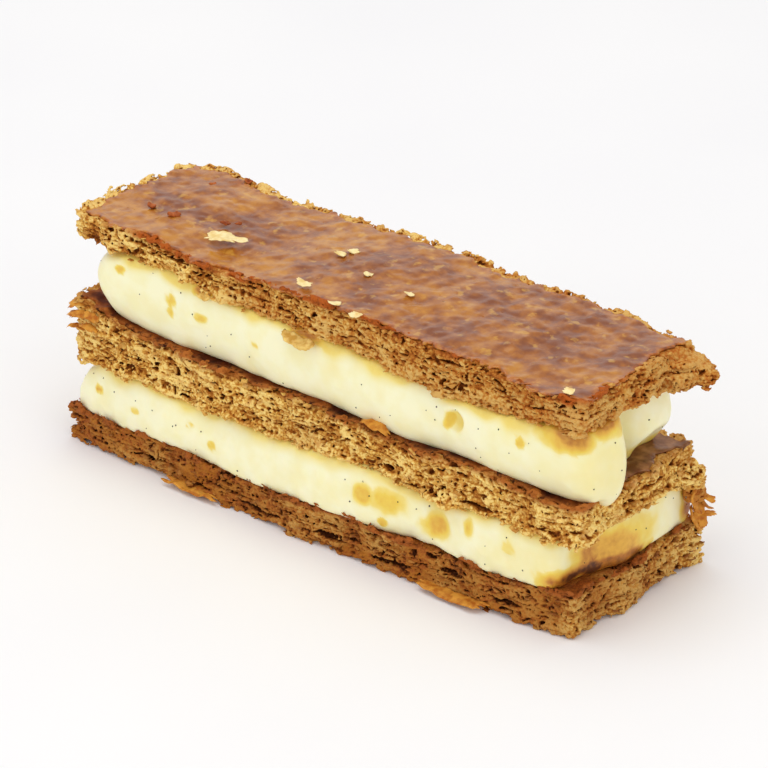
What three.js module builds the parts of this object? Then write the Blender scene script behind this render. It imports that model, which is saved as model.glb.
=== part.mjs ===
// A mille feuille slice: three baked slabs of puff pastry with two piped layers of vanilla cream between them.
// Millimetres, +Z up. The long cut side faces -Y, the length runs along X, and the slice stands on Z = 0.
// Every layer is one closed block on a grid: a plan outline with rounded corners, a lower and an upper surface
// given as heights over the plan, and a side wall whose rings bulge or step back as the real layer does.
import * as THREE from "three";

// Driving dimensions of the whole slice.
const HALF_LENGTH = 60;
const LAYER_GAP = 0.34;

// Heights over the plan where one layer gives way to the next, at the middle of the slice.
const BOTTOM_SLAB_TOP = 7.9;
const MIDDLE_SLAB_UNDERSIDE = 18.2;
const MIDDLE_SLAB_TOP = 27.0;
const TOP_SLAB_UNDERSIDE = 41.8;
const TOP_SLAB_TOP = 48.6;

// A sine ripple along one direction: amplitude, wavelength and phase.
const ripple = (amplitude, wavelength, phase) => (s) =>
  amplitude * Math.sin((2 * Math.PI * s) / wavelength + phase);

// The sum of several ripples, as one function.
const sumOf = (ripples) => (s) => ripples.reduce((total, r) => total + r(s), 0);

// The smooth step from 0 to 1 as s goes from `from` to `to`.
function smoothStep(s, from, to) {
  const f = Math.min(1, Math.max(0, (s - from) / (to - from)));
  return f * f * (3 - 2 * f);
}

// The heights of the five surfaces between the layers, each a function of the place in plan.
const bottomTopWaves = sumOf([ripple(0.25, 47, 0.4), ripple(0.2, 29, 2.1)]);
const middleUnderWaves = sumOf([ripple(0.5, 52, 1.0), ripple(0.3, 31, 0.2)]);
const middleTopWaves = sumOf([ripple(0.35, 57, 2.6), ripple(0.25, 33, 1.3)]);
const topUnderWaves = sumOf([ripple(0.35, 44, 0.6), ripple(0.2, 30, 2.9)]);
const topWaves = sumOf([ripple(0.55, 71, 0.9), ripple(0.3, 38, 2.2)]);
const crosswise = ripple(0.35, 46, 0.8);

const bottomSlabTop = (x, y) =>
  BOTTOM_SLAB_TOP + 0.5 * (x / HALF_LENGTH) + bottomTopWaves(x) + 0.4 * crosswise(y);

const middleSlabUnderside = (x, y) =>
  MIDDLE_SLAB_UNDERSIDE + 0.5 * (x / HALF_LENGTH) + middleUnderWaves(x) + crosswise(y);

// The left end of the middle slab swells where its leaves have come apart in the oven.
const middleSlabTop = (x, y) =>
  MIDDLE_SLAB_TOP +
  2.2 * smoothStep(x, -34, -58) -
  0.7 * (x / HALF_LENGTH) +
  middleTopWaves(x) -
  0.8 * crosswise(y);

// The top slab is thin at the left end and thick at the right one, where its leaves have risen most.
const topSlabUnderside = (x, y) =>
  TOP_SLAB_UNDERSIDE -
  2.0 * smoothStep(x, -8, 22) +
  0.9 * smoothStep(x, 38, 58) +
  1.6 * smoothStep(x, -10, -50) +
  1.9 * smoothStep(x, -44, -61) +
  topUnderWaves(x) +
  crosswise(y);

const topSlabTop = (x, y) => TOP_SLAB_TOP - 0.5 * (x / HALF_LENGTH) + topWaves(x) + 0.7 * crosswise(y);

// One height surface moved up or down by a fixed distance.
const raised = (surface, distance) => (x, y) => surface(x, y) + distance;

// A place in the unit square pulled in so that the square's corners become round.
function roundedPlace(a, b, halfLength, halfWidth, radius) {
  const x = a * halfLength;
  const y = b * halfWidth;
  const overX = Math.abs(x) - (halfLength - radius);
  const overY = Math.abs(y) - (halfWidth - radius);
  if (overX <= 0 || overY <= 0) return [x, y];
  const pull = Math.max(overX, overY) / Math.hypot(overX, overY);
  return [
    Math.sign(x) * (halfLength - radius + overX * pull),
    Math.sign(y) * (halfWidth - radius + overY * pull),
  ];
}

// The plan of a layer at one ring: its four sides, stepped back by `inset`, with uneven edges.
// How quickly an uneven edge dies away towards the middle of the layer is set by these powers.
const END_HOLD = 5;
const SIDE_HOLD = 4;

function planPlace(layer, a, b, t) {
  const inset = layer.inset(t);
  const halfLength = (layer.right - layer.left) / 2 - inset;
  const halfWidth = (layer.back - layer.front) / 2 - inset;
  const [u, v] = roundedPlace(a, b, halfLength, halfWidth, layer.cornerRadius);
  const middleX = (layer.left + layer.right) / 2;
  const middleY = (layer.front + layer.back) / 2;
  const endPush = a > 0 ? layer.rightEdge(middleY + v, t) : layer.leftEdge(middleY + v, t);
  const sidePush = b > 0 ? layer.backEdge(middleX + u, t) : layer.frontEdge(middleX + u, t);
  return [
    middleX + u + Math.sign(a) * Math.abs(a) ** END_HOLD * endPush,
    middleY + v + Math.sign(b) * Math.abs(b) ** SIDE_HOLD * sidePush,
  ];
}

// The point of a layer at the grid place (a, b), both from -1 to 1, and the share t of its height.
function layerPoint(layer, a, b, t) {
  const [x, y] = planPlace(layer, a, b, t);
  const low = layer.underside(x, y);
  const high = layer.topside(x, y);
  return [x, y, low + (high - low) * t];
}

// A layer as one closed block: the underside grid, the topside grid and the rings of the side wall.
function layerGeometry(layer) {
  const positions = [];
  const faces = [];
  const addPoint = (a, b, t) => positions.push(...layerPoint(layer, a, b, t)) / 3 - 1;
  const addQuad = (p, q, r, s) => faces.push(p, q, r, p, r, s);
  const across = (i) => (2 * i) / layer.columns - 1;
  const along = (j) => (2 * j) / layer.rows - 1;
  const sheet = (t) =>
    Array.from({ length: layer.rows + 1 }, (_, j) =>
      Array.from({ length: layer.columns + 1 }, (_, i) => addPoint(across(i), along(j), t)),
    );

  const underside = sheet(0);
  const topside = sheet(1);
  for (let j = 0; j < layer.rows; j += 1) {
    for (let i = 0; i < layer.columns; i += 1) {
      addQuad(underside[j][i], underside[j + 1][i], underside[j + 1][i + 1], underside[j][i + 1]);
      addQuad(topside[j][i], topside[j][i + 1], topside[j + 1][i + 1], topside[j + 1][i]);
    }
  }

  const rim = [];
  for (let i = 0; i < layer.columns; i += 1) rim.push([i, 0]);
  for (let j = 0; j < layer.rows; j += 1) rim.push([layer.columns, j]);
  for (let i = layer.columns; i > 0; i -= 1) rim.push([i, layer.rows]);
  for (let j = layer.rows; j > 0; j -= 1) rim.push([0, j]);

  let below = rim.map(([i, j]) => underside[j][i]);
  for (let ring = 1; ring <= layer.rings; ring += 1) {
    const t = ring / layer.rings;
    const above =
      ring === layer.rings
        ? rim.map(([i, j]) => topside[j][i])
        : rim.map(([i, j]) => addPoint(across(i), along(j), t));
    below.forEach((point, k) => {
      const next = (k + 1) % rim.length;
      addQuad(point, below[next], above[next], above[k]);
    });
    below = above;
  }

  const geometry = new THREE.BufferGeometry();
  geometry.setAttribute("position", new THREE.Float32BufferAttribute(positions, 3));
  geometry.setIndex(faces);
  geometry.computeVertexNormals();
  return geometry;
}

// A torn pastry edge: ripples along the side that slide along from ring to ring, so that leaves overhang.
function tornEdge(depth, wavelength, phase, lean) {
  const coarse = ripple(depth, wavelength, phase);
  const fine = ripple(0.45 * depth, 0.37 * wavelength, 2 * phase);
  return (s, t) => coarse(s + lean * t) + fine(s - 1.7 * lean * t) + 0.25 * depth * Math.cos(9 * t + phase);
}

// A piped cream edge: a long, slow wander with no steps.
function pipedEdge(depth, wavelength, phase) {
  const slow = ripple(depth, wavelength, phase);
  const small = ripple(0.4 * depth, 0.43 * wavelength, 1.6 * phase);
  return (s) => slow(s) + small(s);
}

// An edge that also swells outwards around one place along it, more at the foot than at the crown if `lean` is set.
const swollen = (edge, place, reach, amount, lean = 0) => (s, t) =>
  edge(s, t) + amount * (1 - lean * t) * Math.exp(-(((s - place) / reach) ** 2));

// An end that steps back above the share `from` of its height, as a rounded nose does.
const nose = (edge, from, depth) => (s, t) => {
  const rise = Math.max(0, (t - from) / (1 - from));
  return edge(s, t) - depth * (1 - Math.sqrt(1 - rise * rise));
};

// The step back of a slab's side: its upper and lower skins stand a little proud of the crumb.
const slabInset = (depth) => (t) => depth * Math.sin(Math.PI * t);

// The step back of a piped band: widest a little above its middle, and curled under at the foot.
const bandInset = (foot, crown, widest) => (t) =>
  t < widest ? foot * (1 - Math.sin((Math.PI / 2) * (t / widest))) :
    crown * (1 - Math.cos((Math.PI / 2) * ((t - widest) / (1 - widest))));

const SLAB_GRID = { columns: 30, rows: 8, rings: 4 };
const LOWER_CREAM_GRID = { columns: 30, rows: 8, rings: 5 };
const UPPER_CREAM_GRID = { columns: 30, rows: 14, rings: 6 };

const PASTRY_FINISH = { roughness: 0.8, metalness: 0 };
const CREAM_FINISH = { roughness: 0.4, metalness: 0 };

const bottomSlab = {
  ...SLAB_GRID,
  name: "pastry_bottom",
  finish: { ...PASTRY_FINISH, color: 0x9a6330 },
  left: -63.6,
  right: 59.4,
  front: -17.4,
  back: 20.0,
  cornerRadius: 1.2,
  inset: slabInset(0.4),
  leftEdge: tornEdge(0.6, 17, 0.5, 2),
  rightEdge: tornEdge(0.7, 21, 1.9, -2),
  frontEdge: swollen(tornEdge(0.5, 24, 2.3, 3), -4, 38, 2.1),
  backEdge: swollen(tornEdge(0.5, 28, 0.9, -3), 50, 30, 1.2),
  underside: () => 0,
  topside: bottomSlabTop,
};

const lowerCream = {
  ...LOWER_CREAM_GRID,
  name: "cream_lower",
  finish: { ...CREAM_FINISH, color: 0xf3eab8 },
  left: -63.4,
  right: 59.0,
  front: -17.2,
  back: 18.4,
  cornerRadius: 2.8,
  inset: bandInset(0.5, 1.3, 0.3),
  leftEdge: nose(pipedEdge(0.4, 30, 0.4), 0, 4.6),
  rightEdge: pipedEdge(0.6, 26, 2.4),
  frontEdge: swollen(pipedEdge(0.4, 41, 1.2), -4, 38, 2.4, 0.7),
  backEdge: swollen(pipedEdge(0.4, 47, 0.3), 50, 25, 1.8),
  underside: raised(bottomSlabTop, LAYER_GAP),
  topside: raised(middleSlabUnderside, -LAYER_GAP),
};

const middleSlab = {
  ...SLAB_GRID,
  name: "pastry_middle",
  finish: { ...PASTRY_FINISH, color: 0xc08a45 },
  left: -62.6,
  right: 59.7,
  front: -17.4,
  back: 18.0,
  cornerRadius: 2,
  inset: slabInset(0.5),
  leftEdge: tornEdge(0.7, 15, 1.1, -2),
  rightEdge: swollen(tornEdge(0.8, 19, 0.2, 2), 17, 6, 3.0, 1.0),
  frontEdge: tornEdge(0.5, 26, 0.7, 3),
  backEdge: tornEdge(0.5, 31, 2.0, -3),
  underside: middleSlabUnderside,
  topside: middleSlabTop,
};

// The upper cream is two bands piped side by side. The front one runs further to the right,
// and a cleft between them opens at each end.
const FRONT_BAND_END = 61.4;
const BACK_BAND_END = 57.0;
const CLEFT_CENTRE = -0.2;
const CLEFT_REACH = 3.4;
const RIGHT_CLEFT_DEPTH = 9;
const LEFT_CLEFT_DEPTH = 3;
// The bands were cut across at the right, so there they stand square on their foot instead of curling under.
const END_FOOT = 2.2;

const cleft = (y, depth) => depth * Math.exp(-(((y - CLEFT_CENTRE) / CLEFT_REACH) ** 2));
const bandEnds = (y) => (BACK_BAND_END - FRONT_BAND_END) * smoothStep(y, CLEFT_CENTRE - 2, CLEFT_CENTRE + 3);

const upperCream = {
  ...UPPER_CREAM_GRID,
  name: "cream_upper",
  finish: { ...CREAM_FINISH, color: 0xf5edc0 },
  left: -57.6,
  right: FRONT_BAND_END,
  front: -17.3,
  back: 16.2,
  cornerRadius: 5,
  inset: bandInset(2.4, 1.0, 0.55),
  leftEdge: nose((y) => -cleft(y, LEFT_CLEFT_DEPTH), 0.3, 7.5),
  rightEdge: (y, t) => bandEnds(y) - cleft(y, RIGHT_CLEFT_DEPTH) + END_FOOT * (1 - t) ** 2,
  frontEdge: pipedEdge(0.4, 53, 2.2),
  backEdge: pipedEdge(0.4, 49, 1.4),
  underside: raised(middleSlabTop, LAYER_GAP),
  topside: raised(topSlabUnderside, -LAYER_GAP),
};

const topSlab = {
  ...SLAB_GRID,
  name: "pastry_top",
  finish: { ...PASTRY_FINISH, color: 0xa86a3e, roughness: 0.35 },
  left: -61,
  right: 60.4,
  front: -17.0,
  back: 16.2,
  cornerRadius: 2.5,
  inset: slabInset(0.4),
  leftEdge: swollen(tornEdge(0.6, 16, 2.7, 2), 15, 9, -2.2),
  rightEdge: swollen(tornEdge(0.6, 20, 1.4, -2), 17, 6, 6.2, 0.9),
  frontEdge: tornEdge(0.6, 27, 1.6, 3),
  backEdge: swollen(tornEdge(0.6, 33, 0.1, -3), -54, 14, -0.9),
  underside: topSlabUnderside,
  topside: topSlabTop,
};

// Each layer becomes one named mesh, and the whole stack is moved so that the middle of its footprint is the origin.
const layers = new THREE.Group();
for (const layer of [bottomSlab, lowerCream, middleSlab, upperCream, topSlab]) {
  const mesh = new THREE.Mesh(layerGeometry(layer), new THREE.MeshStandardMaterial(layer.finish));
  mesh.name = layer.name;
  layers.add(mesh);
}
const extent = new THREE.Box3().setFromObject(layers);
const middle = extent.getCenter(new THREE.Vector3());
layers.position.set(-middle.x, -middle.y, -extent.min.z);

const slice = new THREE.Group();
slice.name = "mille_feuille_slice";
slice.add(layers);

export default slice;
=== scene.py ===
"""Looks of a mille feuille slice: baked leaves, piped vanilla cream, caramel glaze and loose flakes.

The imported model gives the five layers. Each one is rebuilt here as a signed-distance field on a fine grid of
cells, carved into crumb or smoothed into cream, and turned back into a mesh that stands for its CAD node.
Lengths inside this script are millimetres until a mesh is made.
"""
import functools
import itertools
import logging
import math
from dataclasses import dataclass, field
from enum import Enum

import bpy
import numpy as np
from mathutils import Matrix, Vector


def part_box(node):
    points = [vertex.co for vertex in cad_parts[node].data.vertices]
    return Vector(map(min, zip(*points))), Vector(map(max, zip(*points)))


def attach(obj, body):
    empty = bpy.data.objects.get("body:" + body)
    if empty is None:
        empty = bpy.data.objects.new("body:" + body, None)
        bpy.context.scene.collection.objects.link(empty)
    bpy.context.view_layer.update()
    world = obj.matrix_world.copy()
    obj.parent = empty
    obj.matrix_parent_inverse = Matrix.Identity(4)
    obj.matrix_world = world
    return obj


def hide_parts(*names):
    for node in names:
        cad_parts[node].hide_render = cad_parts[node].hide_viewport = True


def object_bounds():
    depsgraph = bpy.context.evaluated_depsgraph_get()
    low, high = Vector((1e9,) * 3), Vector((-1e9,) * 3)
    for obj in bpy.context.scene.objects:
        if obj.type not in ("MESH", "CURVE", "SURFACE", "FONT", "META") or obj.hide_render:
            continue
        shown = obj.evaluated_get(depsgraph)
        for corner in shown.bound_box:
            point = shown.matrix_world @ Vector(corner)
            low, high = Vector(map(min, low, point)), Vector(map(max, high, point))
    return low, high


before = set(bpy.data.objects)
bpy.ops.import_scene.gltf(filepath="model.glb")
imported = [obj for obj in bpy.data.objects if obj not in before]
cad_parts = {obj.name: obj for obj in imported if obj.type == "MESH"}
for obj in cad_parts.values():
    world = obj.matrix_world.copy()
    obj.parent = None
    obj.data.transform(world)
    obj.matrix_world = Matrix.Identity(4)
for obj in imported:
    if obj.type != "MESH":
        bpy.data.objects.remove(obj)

import openvdb as vdb
from mathutils import Matrix, Vector

LOG = logging.getLogger("slice")
MM = 0.001
BODY = "root"
PIECE_TRIANGLES = 185_000
HALF_LENGTH = 60.0
CAD_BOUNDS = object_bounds()

Array = np.ndarray


# ---------------------------------------------------------------- fields on a grid of cells

def spline_weights(count: int, step: float, cell: float) -> Array:
    """Cubic B-spline weights that spread a row of random knots over evenly spaced samples.

    Args:
        count: how many samples there are.
        step: distance between samples, mm.
        cell: distance between knots, mm.

    Returns:
        A matrix of shape (count, knots).
    """
    place = np.arange(count) * (step / cell)
    knot = np.floor(place).astype(int)
    f = place - knot
    parts = np.stack([(1 - f) ** 3, 3 * f**3 - 6 * f**2 + 4, -3 * f**3 + 3 * f**2 + 3 * f + 1, f**3], 1) / 6
    weights = np.zeros((count, knot.max() + 4), np.float32)
    for column in range(4):
        weights[np.arange(count), knot + column] = parts[:, column]
    return weights


@dataclass
class Grid:
    """A box of cubic cells that holds shapes as signed distances, negative inside."""

    low: Array
    step: float
    shape: tuple[int, int, int]

    @classmethod
    def around(cls, node: str, step: float, margin: float) -> "Grid":
        """Make a grid round a CAD node.

        Args:
            node: the CAD node's name.
            step: size of a cell, mm.
            margin: room kept free on every side, mm.

        Returns:
            The grid.
        """
        low, high = (np.array(corner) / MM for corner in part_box(node))
        shape = np.ceil((high - low + 2 * margin) / step).astype(int) + 1
        return cls(low - margin, step, tuple(int(n) for n in shape))

    def axes(self) -> tuple[Array, Array, Array]:
        """Return x, y and z of the cells as arrays that broadcast against each other."""
        x, y, z = (self.low[k] + self.step * np.arange(self.shape[k], dtype=np.float32) for k in range(3))
        return x[:, None, None], y[None, :, None], z[None, None, :]

    def noise(self, cell: float | tuple[float, float, float], seed: int) -> Array:
        """Smooth random values of unit spread.

        Args:
            cell: distance between the random knots along each axis, mm.
            seed: fixes the random values.

        Returns:
            An array of the grid's shape.
        """
        cells = (cell,) * 3 if isinstance(cell, (int, float)) else cell
        along = [spline_weights(self.shape[k], self.step, cells[k]) for k in range(3)]
        knots = np.random.default_rng(seed).standard_normal([w.shape[1] for w in along]).astype(np.float32)
        values = np.tensordot(along[0], knots, (1, 0))
        values = np.tensordot(along[1], values, (1, 1)).transpose(1, 0, 2)
        values = np.tensordot(values, along[2], (2, 1))
        return values / values.std()

    def flat_noise(self, cell: float, seed: int) -> Array:
        """Smooth random values over the plan only, shape (x, y, 1)."""
        plan = Grid(self.low, self.step, (self.shape[0], self.shape[1], 1))
        return plan.noise((cell, cell, cell), seed)

    def distance_to(self, node: str, reach: float, stretch: tuple[float, float, float] = (1, 1, 1)) -> Array:
        """Signed distance to a CAD node's surface.

        Args:
            node: the CAD node's name.
            reach: the distances are cut off at this, mm.
            stretch: the node's mesh is first scaled by this about its middle.

        Returns:
            An array of the grid's shape, mm.
        """
        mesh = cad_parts[node].data
        mesh.calc_loop_triangles()
        points = np.zeros(len(mesh.vertices) * 3, np.float32)
        mesh.vertices.foreach_get("co", points)
        points = points.reshape(-1, 3) / MM
        middle = (points.min(0) + points.max(0)) / 2
        points = middle + (points - middle) * stretch
        corners = np.zeros(len(mesh.loop_triangles) * 3, np.int32)
        mesh.loop_triangles.foreach_get("vertices", corners)
        level = vdb.FloatGrid.createLevelSetFromPolygons(
            ((points - self.low) / self.step).astype(np.float32),
            triangles=corners.reshape(-1, 3).astype(np.uint32),
            halfWidth=reach / self.step,
        )
        values = np.zeros(self.shape, np.float32)
        level.copyToArray(values, ijk=(0, 0, 0))
        return values * self.step

    def sample(self, values: Array, points: Array) -> Array:
        """Read a field at points, between its cells.

        Args:
            values: the field.
            points: places, mm, shape (n, 3).

        Returns:
            One value for each point.
        """
        values = np.broadcast_to(values, self.shape)
        place = np.clip((points - self.low) / self.step, 0, np.array(self.shape) - 1.001)
        base = place.astype(int)
        part = place - base
        total = np.zeros(len(points), np.float32)
        for corner in itertools.product((0, 1), repeat=3):
            weight = np.prod(np.where(corner, part, 1 - part), 1)
            at = base + corner
            total += weight * values[at[:, 0], at[:, 1], at[:, 2]]
        return total

    def surface(self, values: Array, adaptivity: float) -> tuple[Array, Array, Array]:
        """Turn a field into the closed surface where it is zero.

        Args:
            values: signed distances, negative inside.
            adaptivity: how much flat areas are simplified, 0 to 1.

        Returns:
            Points in mm, triangles and quads.
        """
        volume = vdb.FloatGrid(float(self.step * 3))
        volume.copyFromArray(np.ascontiguousarray(values, np.float32))
        points, triangles, quads = volume.convertToPolygons(isovalue=0.0, adaptivity=adaptivity)
        return self.low + points * self.step, triangles.astype(np.int64), quads.astype(np.int64)


def plan_distance(inside: Array, step: float, reach: float = 12.0) -> Array:
    """Signed distance to the outline of a plan shape.

    Args:
        inside: True for the cells of the shape, with some free cells all round.
        step: size of a cell, mm.
        reach: the distances are cut off at about this, mm.

    Returns:
        Distances in mm, negative inside.
    """
    rim = inside.copy()
    for axis, shift in itertools.product((0, 1), (-1, 1)):
        rim &= np.roll(inside, shift, axis)
    rim = inside & ~rim
    count = int(reach / step)
    row = np.arange(inside.shape[0])[:, None]
    before = np.maximum.accumulate(np.where(rim, row, -count), 0)
    after = np.minimum.accumulate(np.where(rim, row, row[-1] + count)[::-1], 0)[::-1]
    along = np.minimum(np.minimum(row - before, after - row), count).astype(np.float32) ** 2
    padded = np.pad(along, ((0, 0), (count, count)), constant_values=count**2)
    width = inside.shape[1]
    across = (padded[:, count + k : count + k + width] + k * k for k in range(-count, count + 1))
    nearest = np.sqrt(functools.reduce(np.minimum, across))
    return np.where(inside, -nearest, nearest) * step


def spread(values: Array, known: Array) -> Array:
    """Carry a plan map outwards over the places where it isn't known.

    Args:
        values: the map.
        known: where it holds.

    Returns:
        The map filled all over.
    """
    values = np.where(known, values, 0).astype(np.float32)
    known = known.copy()
    while not known.all():
        total = np.zeros_like(values)
        count = np.zeros_like(values)
        for axis, shift in itertools.product((0, 1), (-1, 1)):
            near = np.roll(known, shift, axis)
            total += np.where(near, np.roll(values, shift, axis), 0)
            count += near
        fill = ~known & (count > 0)
        values[fill] = total[fill] / count[fill]
        known |= fill
    return values


def smooth_max(a: Array, b: Array, blend: float) -> Array:
    """Cut one shape by another with a rounded edge of about the given size, mm."""
    h = np.clip(0.5 + 0.5 * (a - b) / blend, 0, 1)
    return b + (a - b) * h + blend * h * (1 - h)


def blurred(values: Array, reach: int) -> Array:
    """Average a field over a box of cells, twice, which rounds its edges and facets.

    Args:
        values: the field.
        reach: half-width of the box, in cells.

    Returns:
        The smoothed field.
    """
    width = 2 * reach + 1
    for axis in (0, 1, 2, 0, 1, 2):
        pads = [(0, 0)] * 3
        pads[axis] = (reach + 1, reach)
        total = np.cumsum(np.pad(values, pads, mode="edge"), axis=axis, dtype=np.float64)
        ahead = np.take(total, range(width, total.shape[axis]), axis)
        behind = np.take(total, range(0, total.shape[axis] - width), axis)
        values = ((ahead - behind) / width).astype(np.float32)
    return values


def largest_piece(count: int, triangles: Array, quads: Array) -> Array:
    """Find the vertices of the connected surface that has the most of them.

    Args:
        count: number of vertices.
        triangles: corner numbers, shape (n, 3).
        quads: corner numbers, shape (n, 4).

    Returns:
        True for each vertex of the largest surface.
    """
    edges = np.concatenate(
        [f[:, [k, (k + 1) % f.shape[1]]] for f in (triangles, quads) if len(f) for k in range(f.shape[1])]
    )
    label = np.arange(count)
    while True:
        lowest = np.minimum(label[edges[:, 0]], label[edges[:, 1]])
        after = label.copy()
        np.minimum.at(after, edges[:, 0], lowest)
        np.minimum.at(after, edges[:, 1], lowest)
        after = after[after]
        after = after[after]
        if np.array_equal(after, label):
            break
        label = after
    return label == np.bincount(label).argmax()


def mesh_object(
    name: str, points: Array, triangles: Array, quads: Array, smooth: bool = True
) -> bpy.types.Object:
    """Make a mesh object from arrays.

    Args:
        name: the object's name.
        points: vertex places, mm.
        triangles: corner numbers, shape (n, 3).
        quads: corner numbers, shape (n, 4).
        smooth: whether the faces are shaded smooth.

    Returns:
        The new object, linked to the scene, at the origin.
    """
    mesh = bpy.data.meshes.new(name)
    faces = len(triangles) + len(quads)
    corners = np.concatenate([triangles.ravel(), quads.ravel()]).astype(np.int32)
    totals = np.concatenate([np.full(len(triangles), 3), np.full(len(quads), 4)]).astype(np.int32)
    mesh.vertices.add(len(points))
    mesh.vertices.foreach_set("co", (points * MM).astype(np.float32).ravel())
    mesh.loops.add(len(corners))
    mesh.loops.foreach_set("vertex_index", corners)
    mesh.polygons.add(faces)
    mesh.polygons.foreach_set("loop_start", np.concatenate([[0], np.cumsum(totals)[:-1]]).astype(np.int32))
    mesh.polygons.foreach_set("loop_total", totals)
    mesh.polygons.foreach_set("use_smooth", np.full(faces, smooth))
    mesh.update(calc_edges=True)
    mesh.validate()
    piece = bpy.data.objects.new(name, mesh)
    bpy.context.scene.collection.objects.link(piece)
    return piece


def thin_out(piece: bpy.types.Object, share: float) -> Array:
    """Collapse a mesh's least telling edges until a share of its triangles is left.

    Args:
        piece: the mesh object; it gets a new mesh.
        share: the share of its triangles to keep.

    Returns:
        The new mesh's vertices, mm.
    """
    modifier = piece.modifiers.new("thin_out", "DECIMATE")
    modifier.ratio = share
    evaluated = piece.evaluated_get(bpy.context.evaluated_depsgraph_get())
    mesh = bpy.data.meshes.new_from_object(evaluated)
    piece.modifiers.clear()
    old, piece.data = piece.data, mesh
    bpy.data.meshes.remove(old)
    mesh.name = piece.name
    points = np.zeros(len(mesh.vertices) * 3, np.float32)
    mesh.vertices.foreach_get("co", points)
    return points.reshape(-1, 3) / MM


def solid_from_field(
    name: str, grid: Grid, values: Array, adaptivity: float, most: int = PIECE_TRIANGLES
) -> tuple[bpy.types.Object, Array]:
    """Mesh a field, keep its largest closed surface and make it an object.

    Args:
        name: the object's name.
        grid: the field's grid.
        values: signed distances, negative inside.
        adaptivity: how much flat areas are simplified, 0 to 1.
        most: the most triangles to keep.

    Returns:
        The object, and its vertices in mm.
    """
    points, triangles, quads = grid.surface(values, adaptivity)
    keep = largest_piece(len(points), triangles, quads)
    number = np.cumsum(keep) - 1
    triangles = number[triangles[keep[triangles[:, 0]]]] if len(triangles) else triangles.reshape(0, 3)
    quads = number[quads[keep[quads[:, 0]]]]
    points = points[keep]
    piece = mesh_object(name, points, triangles, quads)
    found = len(triangles) + 2 * len(quads)
    if found > most:
        points = thin_out(piece, most / found)
    LOG.info("%s: %d triangles, cut down from %d", name, min(found, most), found)
    return piece, points


def paint(piece: bpy.types.Object, name: str, values: Array) -> None:
    """Store one number for each vertex, for a finish to read.

    Args:
        piece: the mesh object.
        name: the attribute's name.
        values: one number for each vertex.
    """
    layer = piece.data.attributes.new(name, "FLOAT", "POINT")
    layer.data.foreach_set("value", values.astype(np.float32))


# ---------------------------------------------------------------- materials

def linear(code: str) -> tuple[float, float, float, float]:
    """Turn an sRGB hex code such as "c89a50" into a linear colour with full alpha."""
    shares = [int(code[k : k + 2], 16) / 255 for k in (0, 2, 4)]
    return (*(s / 12.92 if s <= 0.04045 else ((s + 0.055) / 1.055) ** 2.4 for s in shares), 1.0)


def add_node(
    tree: bpy.types.NodeTree, kind: str, settings: dict[str, object] | None = None,
    inputs: dict[str | int, object] | None = None,
) -> bpy.types.Node:
    """Add a node with its settings, and fill or link its inputs.

    Args:
        tree: the node tree.
        kind: the node's type name.
        settings: the node's own attributes; stops gives a colour ramp's places and hex codes.
        inputs: input name or number to a value, a socket, or a node whose first live output is taken.

    Returns:
        The node.
    """
    node = tree.nodes.new(kind)
    for key, value in (settings or {}).items():
        if key == "stops":
            while len(node.color_ramp.elements) < len(value):
                node.color_ramp.elements.new(1.0)
            for element, (place, code) in zip(node.color_ramp.elements, value):
                element.position = place
                element.color = linear(code)
        else:
            setattr(node, key, value)
    for key, value in (inputs or {}).items():
        if isinstance(value, bpy.types.Node):
            value = next(output for output in value.outputs if output.enabled)
        if isinstance(value, bpy.types.NodeSocket):
            tree.links.new(value, node.inputs[key])
        else:
            node.inputs[key].default_value = value
    return node


NOISE, RAMP, MATH, MIX, BUMP = (
    "ShaderNodeTexNoise", "ShaderNodeValToRGB", "ShaderNodeMath", "ShaderNodeMix", "ShaderNodeBump",
)
TIMES, PLUS, MINUS = {"operation": "MULTIPLY"}, {"operation": "ADD"}, {"operation": "SUBTRACT"}
HELD_SUM = {"operation": "ADD", "use_clamp": True}
COLOUR = {"data_type": "RGBA"}


def per_mm(size: float) -> float:
    """Texture scale, in turns per metre, whose lumps are about this many millimetres."""
    return 1 / (size * MM)


@dataclass
class Paint:
    """An empty node material with what its finish reads: places on the object, and stored numbers."""

    name: str
    material: bpy.types.Material = field(init=False)
    tree: bpy.types.NodeTree = field(init=False)
    place: bpy.types.NodeSocket = field(init=False)

    def __post_init__(self) -> None:
        """Make the material and its texture coordinates."""
        self.material = bpy.data.materials.new(self.name)
        self.material.use_nodes = True
        self.tree = self.material.node_tree
        self.tree.nodes.clear()
        self.place = add_node(self.tree, "ShaderNodeTexCoord").outputs["Object"]

    def stored(self, name: str) -> bpy.types.NodeSocket:
        """The number that a piece stores at each vertex under this name."""
        return add_node(self.tree, "ShaderNodeAttribute", {"attribute_name": name}).outputs["Fac"]

    def finished(self, **inputs: object) -> bpy.types.Material:
        """Close the material with a Principled shader.

        Args:
            inputs: the shader's inputs, with underscores for spaces.

        Returns:
            The material.
        """
        named = {key.replace("_", " "): value for key, value in inputs.items()}
        shader = add_node(self.tree, "ShaderNodeBsdfPrincipled", None, named)
        add_node(self.tree, "ShaderNodeOutputMaterial", None, {"Surface": shader})
        return self.material


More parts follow.
